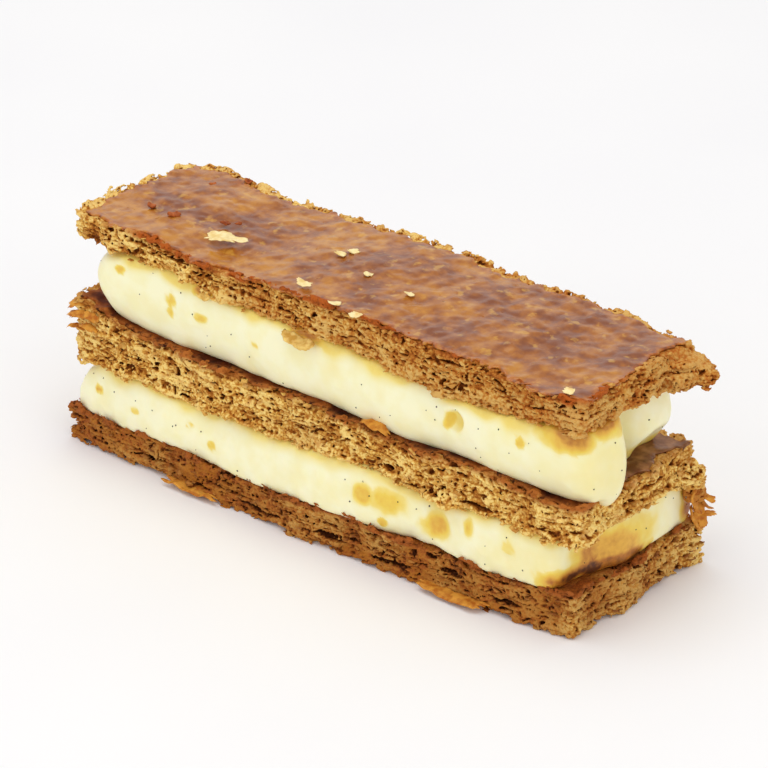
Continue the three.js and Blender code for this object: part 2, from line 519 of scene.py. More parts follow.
@dataclass(frozen=True)
class BakedCrumb:
    """Baked puff pastry crumb: dry, matt, pale gold on its ridges, and dark brown deep in its pores, partly
    its baked colour and partly painted shade.
    """

    name: str
    ridge: str = "fad882"
    wall: str = "e5b254"
    pore: str = "b87224"
    pit: str = "703608"
    browned: str = "c27328"
    skin: str = "ad5a1b"
    toasted: str = "b9752c"

    def material(self) -> bpy.types.Material:
        """Build the finish: painted shade from the depth in the pores and the hollows of the grain, and colour
        from the closeness to the skin and the baking.
        """
        paint_box = Paint(self.name)
        tree, place = paint_box.tree, paint_box.place
        grit = add_node(tree, NOISE, None, {"Vector": place, "Scale": per_mm(0.4), "Detail": 2.0})
        drift = add_node(tree, "ShaderNodeVectorMath", {"operation": "SCALE"},
                         {0: grit.outputs["Color"], "Scale": 0.25 * MM})
        moved = add_node(tree, "ShaderNodeVectorMath", {"operation": "ADD"}, {0: place, 1: drift})
        beads = add_node(tree, "ShaderNodeTexVoronoi", None, {"Vector": moved, "Scale": per_mm(0.62)})
        relief = add_node(tree, MATH, PLUS, {0: beads, 1: grit})
        shallow = add_node(tree, MATH, TIMES, {0: relief, 1: 0.75})
        # Painted shade: the deeper a vertex lies in a pore, and the lower it lies in the grain's bump, the
        # further its colour moves towards the dark pore and pit stops.
        cavity = add_node(tree, MATH, TIMES, {0: paint_box.stored("cavity"), 1: 1.15})
        raised = add_node(tree, MATH, PLUS, {0: cavity, 1: shallow})
        depth = add_node(tree, MATH, {"operation": "SUBTRACT", "use_clamp": True}, {0: raised, 1: 0.83})
        # The pore and pit stops are partly browner crumb and partly painted shade.
        pale_stops = [(0.0, self.ridge), (0.22, self.wall), (0.55, self.pore), (1.0, self.pit)]
        brown_stops = [(0.0, self.toasted), (0.5, self.skin), (1.0, self.pit)]
        crumb = add_node(tree, RAMP, {"stops": pale_stops}, {"Fac": depth})
        brown = add_node(tree, RAMP, {"stops": brown_stops}, {"Fac": depth})
        crust = add_node(tree, RAMP, {"stops": [(0.0, self.skin), (1.0, self.pit)]}, {"Fac": depth})
        fleck = add_node(tree, RAMP, {"stops": [(0.0, self.browned), (1.0, self.pit)]}, {"Fac": depth})
        lumps = add_node(tree, NOISE, None, {"Vector": place, "Scale": per_mm(1.5), "Detail": 3.0})
        picked = add_node(tree, "ShaderNodeMapRange", None, {
            "Value": lumps, "From Min": 0.52, "From Max": 0.68, "To Max": 0.6})
        flecked = add_node(tree, MIX, COLOUR, {0: picked, 6: crumb, 7: fleck})
        baked = add_node(tree, MIX, COLOUR, {0: paint_box.stored("toast"), 6: flecked, 7: brown})
        colour = add_node(tree, MIX, COLOUR, {0: paint_box.stored("skin"), 6: baked, 7: crust})
        hollow = add_node(tree, MATH, TIMES, {0: relief, 1: -1.0})
        grain = add_node(tree, BUMP, None, {"Height": hollow, "Strength": 0.7, "Distance": 0.2 * MM})
        return paint_box.finished(Base_Color=colour, Normal=grain, Roughness=0.7, Specular_IOR_Level=0.12)


@dataclass(frozen=True)
class CaramelGlaze:
    """Caramelised sugar on baked pastry: amber to red-brown, clear and glossy."""

    name: str
    amber: str = "c4822a"
    caramel: str = "a5601c"
    burnt: str = "82431a"
    buttery: str = "dca645"
    pooled: str = "6a3a18"
    pooled_sheen: str = "a8764a"
    edge: str = "b8651f"
    roughness: float = 0.3
    coat: float = 0.22
    specular: float = 0.4
    wet_pool: bool = False

    def material(self) -> bpy.types.Material:
        """Build the finish: cloudy amber over brown, a glossy coat and fine blisters."""
        paint_box = Paint(self.name)
        tree, place = paint_box.tree, paint_box.place
        mist = add_node(tree, NOISE, None, {"Vector": place, "Scale": per_mm(2.6), "Detail": 3.0})
        most = add_node(tree, MATH, TIMES, {0: mist, 1: 0.75})
        thin = add_node(tree, MATH, TIMES, {0: paint_box.stored("thin"), 1: 0.25})
        clouds = add_node(tree, MATH, PLUS, {0: most, 1: thin})
        cloudy_stops = [(0.34, self.burnt), (0.5, self.caramel), (0.70, self.amber)]
        cloudy = add_node(tree, RAMP, {"stops": cloudy_stops}, {"Fac": clouds})
        islands = add_node(tree, NOISE, None, {"Vector": place, "Scale": per_mm(2.4), "Detail": 3.0})
        picked = add_node(tree, "ShaderNodeMapRange", None, {
            "Value": islands, "From Min": 0.60, "From Max": 0.70, "To Max": 0.5})
        spotted = add_node(tree, MIX, COLOUR, {0: picked, 6: cloudy, 7: linear(self.buttery)})
        torn = add_node(tree, NOISE, None, {"Vector": place, "Scale": per_mm(1.2), "Detail": 3.0})
        rim_stops = [(0.35, self.burnt), (0.5, self.edge), (0.68, self.amber)]
        rim = add_node(tree, RAMP, {"stops": rim_stops}, {"Fac": torn})
        share = add_node(tree, MATH, TIMES, {0: paint_box.stored("rim"), 1: 0.9})
        dry = add_node(tree, MIX, COLOUR, {0: share, 6: spotted, 7: rim})
        # Painted reflection: where the glaze lies open at the right end its colour is lightened towards
        # mauve-brown for the sheen it reflects; with wet_pool the same mask also gives it a coat.
        pool_stops = [(0.36, self.pooled), (0.64, self.pooled_sheen)]
        pool = add_node(tree, RAMP, {"stops": pool_stops}, {"Fac": mist})
        colour = add_node(tree, MIX, COLOUR, {0: paint_box.stored("pool"), 6: dry, 7: pool})
        ripples = add_node(tree, NOISE, None, {"Vector": place, "Scale": per_mm(0.9), "Detail": 3.0})
        blisters = add_node(tree, BUMP, None, {"Height": ripples, "Strength": 0.35, "Distance": 0.1 * MM})
        coat = self.coat
        if self.wet_pool:
            coat = add_node(tree, MATH, TIMES, {0: paint_box.stored("pool"), 1: 0.5})
        return paint_box.finished(
            Base_Color=colour, Normal=blisters, Roughness=self.roughness, Specular_IOR_Level=self.specular,
            Coat_Weight=coat, Coat_Roughness=0.12)


@dataclass(frozen=True)
class VanillaCream:
    """Piped vanilla cream: pale yellow, smooth and a little translucent, with soaked amber marks and painted
    shade.
    """

    name: str
    cream: str = "fcf7cf"
    shade: str = "f9f1bc"
    tinted: str = "f6ecb0"
    pale_syrup: str = "f4e084"
    syrup: str = "efcf52"
    amber: str = "e4ae3e"
    caramel: str = "bd7526"
    burnt: str = "5c3018"

    def material(self) -> bpy.types.Material:
        """Build the finish: faint cloudiness, soaked marks and painted shade from one stored number, and a
        soft shine.
        """
        paint_box = Paint(self.name)
        tree, place = paint_box.tree, paint_box.place
        mist = add_node(tree, NOISE, None, {"Vector": place, "Scale": per_mm(5.0), "Detail": 3.0})
        cloudy = add_node(tree, RAMP, {"stops": [(0.35, self.shade), (0.6, self.cream)]}, {"Fac": mist})
        soak = paint_box.stored("soak")
        mottle = add_node(tree, NOISE, None, {"Vector": place, "Scale": per_mm(1.0), "Detail": 3.0})
        centred = add_node(tree, MATH, MINUS, {0: mottle, 1: 0.5})
        mottled = add_node(tree, MATH, TIMES, {0: centred, 1: 0.4})
        local = add_node(tree, MATH, TIMES, {0: mottled, 1: soak})
        depth = add_node(tree, MATH, HELD_SUM, {0: soak, 1: local})
        codes = (self.tinted, self.pale_syrup, self.syrup, self.amber, self.caramel, self.burnt)
        stops = [(0.2 * number, code) for number, code in enumerate(codes)]
        marks = add_node(tree, RAMP, {"stops": stops}, {"Fac": depth})
        share = add_node(tree, MATH, {"operation": "MULTIPLY", "use_clamp": True}, {0: soak, 1: 4.0})
        colour = add_node(tree, MIX, COLOUR, {0: share, 6: cloudy, 7: marks})
        return paint_box.finished(
            Base_Color=colour, Roughness=0.42, Subsurface_Weight=0.2, Subsurface_Radius=(1.0, 0.8, 0.4),
            Subsurface_Scale=1.0 * MM)


@dataclass(frozen=True)
class LeafFinish:
    """A single baked leaf: thin, dry and faintly waxy from the butter, so a little light comes through it."""

    name: str
    light: str = "efcb86"
    dark: str = "c98f43"

    def material(self) -> bpy.types.Material:
        """Build the finish: uneven browning and a dull sheen."""
        paint_box = Paint(self.name)
        tree, place = paint_box.tree, paint_box.place
        browning = add_node(tree, NOISE, None, {"Vector": place, "Scale": per_mm(1.4), "Detail": 3.0})
        tone = add_node(tree, RAMP, {"stops": [(0.35, self.dark), (0.6, self.light)]}, {"Fac": browning})
        grit = add_node(tree, NOISE, None, {"Vector": place, "Scale": per_mm(0.3), "Detail": 2.0})
        grain = add_node(tree, BUMP, None, {"Height": grit, "Strength": 0.4, "Distance": 0.06 * MM})
        return paint_box.finished(
            Base_Color=tone, Normal=grain, Roughness=0.6, Specular_IOR_Level=0.2, Subsurface_Weight=0.06,
            Subsurface_Radius=(1.0, 0.7, 0.3), Subsurface_Scale=0.6 * MM)


@dataclass(frozen=True)
class VanillaSeed:
    """Vanilla seeds under a thin film of cream: nearly black, dull."""

    name: str = "vanilla_seed"
    black: str = "261e12"
    filmed: str = "443a24"

    def material(self) -> bpy.types.Material:
        """Build the finish: one dark brown-black tone with a trace of cream over it."""
        paint_box = Paint(self.name)
        tree, place = paint_box.tree, paint_box.place
        film = add_node(tree, NOISE, None, {"Vector": place, "Scale": per_mm(0.5)})
        tone = add_node(tree, RAMP, {"stops": [(0.3, self.black), (0.7, self.filmed)]}, {"Fac": film})
        return paint_box.finished(Base_Color=tone, Roughness=0.5)


@dataclass(frozen=True)
class PaleBoard:
    """Matt white board that the slice stands on."""

    name: str = "matt_white_board"
    white: str = "f7f6f7"
    whiter: str = "faf9f9"

    def material(self) -> bpy.types.Material:
        """Build the finish: nearly white, with a trace of unevenness."""
        paint_box = Paint(self.name)
        tree, place = paint_box.tree, paint_box.place
        drift = add_node(tree, NOISE, None, {"Vector": place, "Scale": per_mm(90.0)})
        tone = add_node(tree, RAMP, {"stops": [(0.3, self.white), (0.7, self.whiter)]}, {"Fac": drift})
        return paint_box.finished(Base_Color=tone, Roughness=0.9, Specular_IOR_Level=0.1)


# ---------------------------------------------------------------- pastry

@dataclass(frozen=True)
class CrumbCells:
    """Closed cells that steam leaves between the leaves of the dough, flatter than they are long."""

    size: tuple[float, float, float]
    seed: int
    chunk: int = 200_000

    def walls(self, points: Array) -> tuple[Array, Array]:
        """Find how far each point is from the nearest wall between two cells.

        Args:
            points: places, mm, shape (n, 3).

        Returns:
            Distances in mm, and a random number from 0 to 1 that is the same all over one cell.
        """
        size = np.array(self.size, np.float32)
        low = np.floor(points.min(0) / size).astype(int) - 2
        count = np.ceil(points.max(0) / size).astype(int) - low + 3
        rng = np.random.default_rng(self.seed)
        centres = rng.random((*count, 3), dtype=np.float32).reshape(-1, 3)
        openness = rng.random(count, dtype=np.float32).ravel()
        distance = np.empty(len(points), np.float32)
        own = np.empty(len(points), np.float32)
        for start in range(0, len(points), self.chunk):
            part = slice(start, start + self.chunk)
            place = (points[part] / size - low).astype(np.float32)
            distance[part], own[part] = self._walls(place, centres, openness, tuple(count))
        return distance, own

    def _walls(self, place: Array, centres: Array, openness: Array, count: tuple[int, int, int]) -> tuple:
        """Walls for one chunk of points, given in cells from the lattice's corner."""
        size = np.array(self.size, np.float32)
        home = np.floor(place).astype(np.int32)
        first = np.full(len(place), np.inf, np.float32)
        second = first.copy()
        first_at = np.zeros_like(place)
        second_at = np.zeros_like(place)
        own = np.zeros(len(place), np.float32)
        for offset in itertools.product((-1, 0, 1), repeat=3):
            cell = home + np.array(offset, np.int32)
            flat = (cell[:, 0] * count[1] + cell[:, 1]) * count[2] + cell[:, 2]
            at = cell + centres[flat]
            away = ((place - at) ** 2).sum(1)
            nearer = away < first
            between = ~nearer & (away < second)
            second_at[between] = at[between]
            second[between] = away[between]
            second_at[nearer] = first_at[nearer]
            second[nearer] = first[nearer]
            first_at[nearer] = at[nearer]
            first[nearer] = away[nearer]
            own[nearer] = openness[flat[nearer]]
        slope = 2 * np.sqrt((((second_at - first_at) / size) ** 2).sum(1))
        return (second - first) / slope, own


@dataclass(frozen=True)
class Slit:
    """A gap where two leaves have come apart at the front or the end of a slab."""

    x: float
    length: float
    level: float
    opening: float
    slope: float = 0.0


@dataclass(frozen=True)
class Spot:
    """A rounded place on a layer: its middle, and how far it reaches each way, in mm."""

    at: tuple[float, float, float]
    size: tuple[float, float, float]

    def away(self, x: Array, y: Array, z: Array) -> Array:
        """Distance from the spot's middle, as a share of its size."""
        return np.sqrt(sum(((axis - c) / s) ** 2 for axis, c, s in zip((x, y, z), self.at, self.size)))


@dataclass
class PastrySlab:
    """One baked slab: crumb that is open at its sides, and torn leaves along its edges."""

    node: str
    name: str
    finish: BakedCrumb
    slot: str
    seed: int
    # The grid: size of a cell, room round the layer, and the greatest distance that it holds.
    step: float = 0.22
    margin: float = 2.4
    reach: float = 3.0
    # Leaves: how thick, how far their edges stick out, how they wave and gape, and the slits between them.
    leaf_thickness: float = 0.85
    leaf_reach: float = 0.2
    wave: float = 0.30
    gape: float = 0.08
    gape_depth: float = 1.3
    slits: tuple[Slit, ...] = ()
    # The sides: how deep they are torn, how ragged and raised the rim is, and what swells past it.
    torn_band: float = 1.5
    rough_rim: float = 0.22
    rim_lift: float = 0.2
    glaze_seat: float = 0.3
    bulges: tuple[Spot, ...] = ()
    # Pores and the larger caves: size of a cell, the share that is open, wall, depth and beaded surface.
    cells: tuple[float, float, float] = (0.86, 0.86, 0.62)
    open_cells: float = 0.42
    wall: float = 0.13
    pore_depth: float = 1.3
    caves: tuple[float, float, float] = (2.3, 2.3, 1.1)
    open_caves: float = 0.10
    cave_wall: float = 0.25
    cave_depth: float = 1.6
    bead: float = 0.34
    # The pieces: thickness of the open rind, and triangles of the closed middle.
    rind: float = 3.4
    inner_triangles: int = 12_000
    # Baking: depth of the brown skin and how toasted the crumb is; then painted light: how much paler the
    # right end face is painted, and where that starts; and the golden rim.
    skin_thickness: float = 0.6
    toast: float = 0.0
    toast_slope: float = 0.0
    lit_end_paling: float = 0.0
    pale_from: float = 55.0
    pale_over: float = 3.0
    golden_rim: float = 0.0
    grid: Grid = field(init=False)

    def prepare(self) -> None:
        """Measure the CAD layer: its distance field, its outline and its upper and lower surfaces."""
        self.grid = Grid.around(self.node, self.step, self.margin)
        grid = self.grid
        self.base = grid.distance_to(self.node, self.reach)
        inside = self.base < 0
        self.outline = plan_distance(inside.any(2), grid.step)[:, :, None]
        deep = self.outline[:, :, 0] < -1.6
        first = inside.argmax(2)
        last = grid.shape[2] - 1 - inside[:, :, ::-1].argmax(2)
        self.under = spread(self._crossing(first, first - 1), deep)[:, :, None]
        self.top = spread(self._crossing(last, last + 1), deep)[:, :, None]
        self.bulge = np.full((1, 1, 1), self.reach, np.float32)
        for spot in self.bulges:
            self.bulge = np.minimum(self.bulge, (spot.away(*grid.axes()) - 1) * min(spot.size))
            self.base = np.minimum(self.base, self.bulge)
        if self.bulges:
            self.outline = plan_distance((self.base < 0).any(2), grid.step)[:, :, None]

    def _crossing(self, inner: Array, outer: Array) -> Array:
        """Height at which the CAD surface passes between an inner and an outer row of cells."""
        outer = np.clip(outer, 0, self.grid.shape[2] - 1)
        a, b = (np.take_along_axis(self.base, k[:, :, None], 2)[:, :, 0] for k in (inner, outer))
        share = np.clip(a / np.where(a == b, 1, a - b), 0, 1)
        return self.grid.low[2] + self.grid.step * (inner + share * (outer - inner))

    def build(self) -> None:
        """Carve the crumb and make the slab's pieces."""
        self.prepare()
        grid = self.grid
        z = grid.axes()[2]
        near_side = np.clip(1 + (self.outline + 1.0) / self.torn_band, 0, 1)
        level = (z - self.under) / self.leaf_thickness
        level = level + self.wave * grid.noise((3.2, 3.2, 2.0), self.seed + 1)
        whole = self._whole(level, near_side)
        torn = 0.07 * grid.noise(0.5, self.seed + 2) + 0.10 * grid.noise(0.95, self.seed + 3)
        envelope = whole + (torn + 0.12 * grid.noise(2.4, self.seed + 7)) * near_side
        seam = np.abs(level - np.round(level)) * self.leaf_thickness
        gape = self.gape * np.clip(grid.noise((2.0, 2.0, 1.0), self.seed + 8) - 0.9, 0, 1.2)
        values = np.maximum(envelope, -np.maximum(seam - gape, -envelope - self.gape_depth))
        self._open_pores(values, envelope, near_side)
        for slit in self.slits:
            values = np.maximum(values, -self._slit(slit))
        self._make_pieces(np.maximum(values, -z), level, whole)

    def _whole(self, level: Array, near_side: Array) -> Array:
        """The slab before it is torn: the CAD layer with a raised ragged rim and stepped leaf edges.

        Args:
            level: height in leaves above the slab's underside.
            near_side: 1 at the side, falling to 0 inside the torn band.

        Returns:
            Signed distances, negative inside.
        """
        grid = self.grid
        z = grid.axes()[2]
        seat = self.glaze_seat * np.clip(-0.4 - self.outline, 0, 1)
        rim = np.clip(1 + self.outline / 1.2, 0, 1)
        jagged = grid.flat_noise(0.8, self.seed + 5) + 0.7 * grid.flat_noise(2.2, self.seed + 15)
        top = self.top - seat + near_side * self.rough_rim * jagged + self.rim_lift * rim
        under = self.under + near_side * self.rough_rim * grid.flat_noise(0.8, self.seed + 6)
        raised = np.roll(self.base, math.ceil((self.rim_lift + self.rough_rim) / self.step), 2)
        solid = np.minimum(self.base, np.maximum(raised, -2.4 - self.outline))
        whole = np.maximum(solid + self._leaf_edges(level), np.maximum(z - top, under - z))
        return np.minimum(whole, self.bulge)

    def _open_pores(self, values: Array, envelope: Array, near_side: Array) -> None:
        """Bead the sides and open the pores and caves in them. Only cells near a side are worked on.

        Args:
            values: signed distances, changed in place.
            envelope: signed distances to the torn slab without its pores.
            near_side: 1 at the side, falling to 0 inside the torn band.
        """
        grid = self.grid
        z = grid.axes()[2]
        band = (self.outline > -self.rind) & (self.base > -self.pore_depth - 0.4) & (envelope < 0.5)
        band &= (z < self.top - 0.35) | (self.outline > -1.4)
        points = (grid.low + np.stack(np.nonzero(band), 1) * self.step).astype(np.float32)
        warp = [0.28 * grid.noise(1.4, self.seed + 10 + k)[band] for k in range(3)]

        distance, own = CrumbCells(self.cells, self.seed).walls(points + np.stack(warp, 1))
        beads = self.bead * np.sqrt(np.clip(distance / self.bead, 0, 1)) - 0.2
        swollen = values[band] - beads * near_side[:, :, 0][np.nonzero(band)[:2]]
        wall = np.where(own < self.open_cells, self.wall * (0.6 + own / self.open_cells), 1.0)
        shut = -self.base[band] - self.pore_depth * (1.1 - own / self.open_cells)
        pore = smooth_max(wall - distance, shut, 0.2)
        values[band] = smooth_max(swollen, -pore, 0.05)

        gap, deep = CrumbCells(self.caves, self.seed + 50).walls(points + np.stack(warp, 1) * 1.6)
        opened = np.where(deep < self.open_caves, self.cave_wall, 1.0) - gap
        cave = np.maximum(opened, -self.base[band] - self.cave_depth)
        values[band] = smooth_max(values[band], -cave, 0.1)

    def _make_pieces(self, values: Array, level: Array, whole: Array) -> None:
        """Make the rind in two halves, and a coarse closed solid that fills the inside.

        Args:
            values: signed distances of the finished slab.
            level: height in leaves above the slab's underside.
            whole: signed distances of the slab before it was torn.
        """
        halfway = np.round((self.top - self.under) / self.leaf_thickness * 0.5)
        split = 0.8 * (level - halfway)
        material = self.finish.material()
        rind = np.maximum(values, -self.rind - self.outline)
        for part, cut in (("lower_leaves", split), ("upper_leaves", -split)):
            half = np.maximum(rind, cut - 0.06)
            piece, at = solid_from_field(f"{self.name}_{part}", self.grid, half, 0.02)
            self._dress(piece, at, whole, material)
        coarse = Grid(self.grid.low, self.step * 3, tuple(-(-n // 3) for n in self.grid.shape))
        middle = np.maximum(values, self.outline + self.rind - 0.3)[::3, ::3, ::3]
        piece, at = solid_from_field(f"{self.name}_inner_crumb", coarse, middle, 0.02, self.inner_triangles)
        self._dress(piece, at, whole, material)

    def _leaf_edges(self, level: Array) -> Array:
        """How far each leaf's edge stands back from the CAD side, negative where it sticks out."""
        count = int(level.max()) + 3
        leaf = np.clip(np.floor(level).astype(int) + 1, 0, count - 1)
        rng = np.random.default_rng(self.seed + 9)
        table = np.stack([
            self.grid.flat_noise(3.4, self.seed + 40 + n)[:, :, 0]
            + 0.45 * self.grid.flat_noise(1.1, self.seed + 70 + n)[:, :, 0]
            + rng.normal(0, 0.45)
            for n in range(count)
        ])
        i, j = np.ogrid[: self.grid.shape[0], : self.grid.shape[1]]
        return self.leaf_reach * table[leaf, i[:, :, None], j[:, :, None]]

    def _slit(self, slit: Slit) -> Array:
        """Signed distance to the gap between two leaves, negative inside it."""
        x, y, z = self.grid.axes()
        along = (x - slit.x) / (slit.length / 2)
        middle = self.under + slit.level * (self.top - self.under) + slit.slope * (x - slit.x)
        middle = middle + 0.15 * self.grid.flat_noise(2.0, self.seed + 30)
        half = slit.opening / 2 * (1 - along**2) * np.clip(1.0 + (self.outline + 1.0) / 2.0, 0, 1)
        front = y < self.grid.low[1] + self.grid.step * self.grid.shape[1] / 2
        return np.where(front & (np.abs(along) < 1), np.abs(z - middle) - half, self.step)

    def _dress(self, piece: bpy.types.Object, at: Array, whole: Array, material: bpy.types.Material) -> None:
        """Store what the finish reads, give the piece its material and body, and hide its CAD node."""
        grid = self.grid
        depth = -grid.sample(whole, at)
        below = grid.sample(self.top, at) - at[:, 2]
        ragged = 0.3 * grid.sample(grid.noise(1.3, self.seed + 21), at)
        cloud = grid.sample(grid.noise(6.0, self.seed + 22), at)
        skin = np.clip(1.2 - (below + ragged) / self.skin_thickness, 0, 1)
        bare = self.golden_rim * np.clip(np.maximum(at[:, 1] / 8 + 1, -at[:, 0] / 8 - 5.5), 0, 1)
        # Painted shade: depth below the untorn slab, which darkens the pores.
        paint(piece, "cavity", np.clip((depth + 0.15) / 1.1, 0, 1))
        paint(piece, "skin", skin * (1 - bare))
        hanging = np.clip((grid.sample(self.under, at) - 0.8 - at[:, 2]) / 1.5, 0, 1)
        # Painted light: the right end face is painted paler, for the light that falls on it from the right.
        end = np.clip((at[:, 0] - self.pale_from) / self.pale_over, 0, 1)
        baked = self.toast + self.toast_slope * at[:, 0] / HALF_LENGTH - self.lit_end_paling * end
        paint(piece, "toast", np.clip(baked + 0.12 * cloud + hanging, 0, 1))
        finish_piece(piece, material, self.slot, self.node)


def finish_piece(piece: bpy.types.Object, material: bpy.types.Material, slot: str, *nodes: str) -> None:
    """Give a piece its material and its body, and hide the CAD nodes that it replaces.

    Args:
        piece: the mesh object.
        material: its finish.
        slot: not used.
        nodes: the CAD nodes that it replaces.
    """
    piece.data.materials.clear()
    piece.data.materials.append(material)
    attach(piece, BODY)
    if nodes:
        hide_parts(*nodes)


@dataclass
class GlazeSheet:
    """The caramel glaze on a slab's top: a thin blistered sheet with a torn rim."""

    slab: PastrySlab
    name: str
    finish: CaramelGlaze
    slot: str
    seed: int
    thickness: float = 0.5
    inset: float = 0.35
    relief: float = 1.0
    bare_rim: float = 0.0
    pool: float = 0.0

    def build(self) -> None:
        """Make the sheet over its slab."""
        grid, slab = self.slab.grid, self.slab
        x, y, z = grid.axes()
        swell = 0.13 * grid.flat_noise(4.6, self.seed) + 0.10 * grid.flat_noise(1.7, self.seed + 1)
        creases = 0.09 * np.abs(grid.flat_noise(2.8, self.seed + 6))
        creases = creases + 0.06 * grid.flat_noise(0.8, self.seed + 7)
        upper = slab.top + 0.12 + np.maximum(self.relief * (swell - creases), -0.3)
        rim = self.inset + self.bare_rim * np.clip(np.maximum(y / 8 + 0.5, -x / 6 - 8.5), 0, 1)
        rim = rim + 0.45 * grid.flat_noise(2.4, self.seed + 2) + 0.28 * grid.flat_noise(0.8, self.seed + 3)
        level = np.clip(((slab.top - 0.5 - grid.low[2]) / grid.step).astype(int), 0, grid.shape[2] - 1)
        held = np.take_along_axis(slab.base, level, 2)[:, :, 0] < 0
        side = plan_distance(held, grid.step)[:, :, None] + rim + 0.10 * grid.noise(0.8, self.seed + 4)
        values = smooth_max(np.maximum(z - upper, slab.top - self.thickness - z), side, 0.22)
        piece, at = solid_from_field(self.name, grid, values, 0.01, 70_000)
        paint(piece, "rim", np.clip(1 + grid.sample(side, at) / 1.6, 0, 1))
        clouds = grid.sample(grid.flat_noise(4.5, self.seed + 8), at)
        paint(piece, "thin", np.clip(0.5 - 0.35 * clouds - 0.006 * at[:, 0], 0, 1))
        # Painted reflection: a mauve-brown sheen painted on the open glaze at the right end.
        pool = np.clip((at[:, 0] - 46) / 6, 0, 1) * np.clip((at[:, 1] + 14) / 5, 0, 1)
        paint(piece, "pool", self.pool * pool)
        finish_piece(piece, self.finish.material(), self.slot)


# ---------------------------------------------------------------- cream

@dataclass(frozen=True)
class Mark(Spot):
    """A soaked patch or a patch of painted shade, and how dark its middle is."""

    depth: float


@dataclass
class CreamLayer:
    """One layer of vanilla cream: smooth and swelling, with burst bubbles, soaked marks and painted shade."""

    node: str
    name: str
    finish: VanillaCream
    slot: str
    seed: int
    marks: tuple[Mark, ...] = ()
    dimples: tuple[Spot, ...] = ()
    bulges: tuple[Spot, ...] = ()
    roof: str = ""
    roof_shade: float = 0.3
    step: float = 0.4
    taller: float = 1.09
    round_cells: int = 2
    lumps: float = 0.14
    grit: float = 0.03

    def build(self) -> bpy.types.Object:
        """Smooth the CAD layer, give it its unevenness and make the piece.

        Returns:
            The finished piece.
        """
        grid = Grid.around(self.node, self.step, 2.4)
        x, y, z = grid.axes()
        base = grid.distance_to(self.node, 3.0, (1, 1, self.taller))
        values = blurred(base, self.round_cells)
        values += self.lumps * grid.noise(8.0, self.seed) + 0.05 * grid.noise(2.6, self.seed + 1)
        values += self.grit * grid.noise(1.0, self.seed + 2)
        for bulge in self.bulges:
            values = -smooth_max(-values, (1 - bulge.away(x, y, z)) * min(bulge.size), 1.2)
        for dimple in self.dimples:
            reach = min(dimple.size)
            values = smooth_max(values, (1 - dimple.away(x, y, z)) * reach, 0.22 * reach)
        values = np.maximum(values, 0.2 - z)
        piece, at = solid_from_field(self.name, grid, values, 0.003)
        paint(piece, "soak", self._soak_and_shade(grid, at))
        finish_piece(piece, self.finish.material(), self.slot, self.node)
        return piece

    def _soak_and_shade(self, grid: Grid, at: Array) -> Array:
        """How deeply each vertex is soaked or painted with shade, from the marks, their ragged edges and the
        slab above.
        """
        broad = grid.sample(grid.noise(2.2, self.seed + 11), at)
        fine = grid.sample(grid.noise(0.8, self.seed + 12), at)
        # Painted shade: the cream is tinted yellower and darker near the underside of the slab above, where
        # that slab's shadow falls.
        roof = grid.sample(grid.distance_to(self.roof, 3.2), at) + 0.5 * broad
        soak = self.roof_shade * np.clip(1.25 - roof / 2.2, 0, 1)
        for mark in self.marks:
            reach = min(mark.size)
            away = mark.away(*at.T) + (0.35 * broad + 0.15 * fine) / (1 + 0.6 * reach)
            soft = 0.45 + 0.11 * min(reach, 2.5)
            soak = np.maximum(soak, mark.depth * np.clip((1.15 - away) / soft, 0, 1))
        return soak


# ---------------------------------------------------------------- loose leaves and scattered things

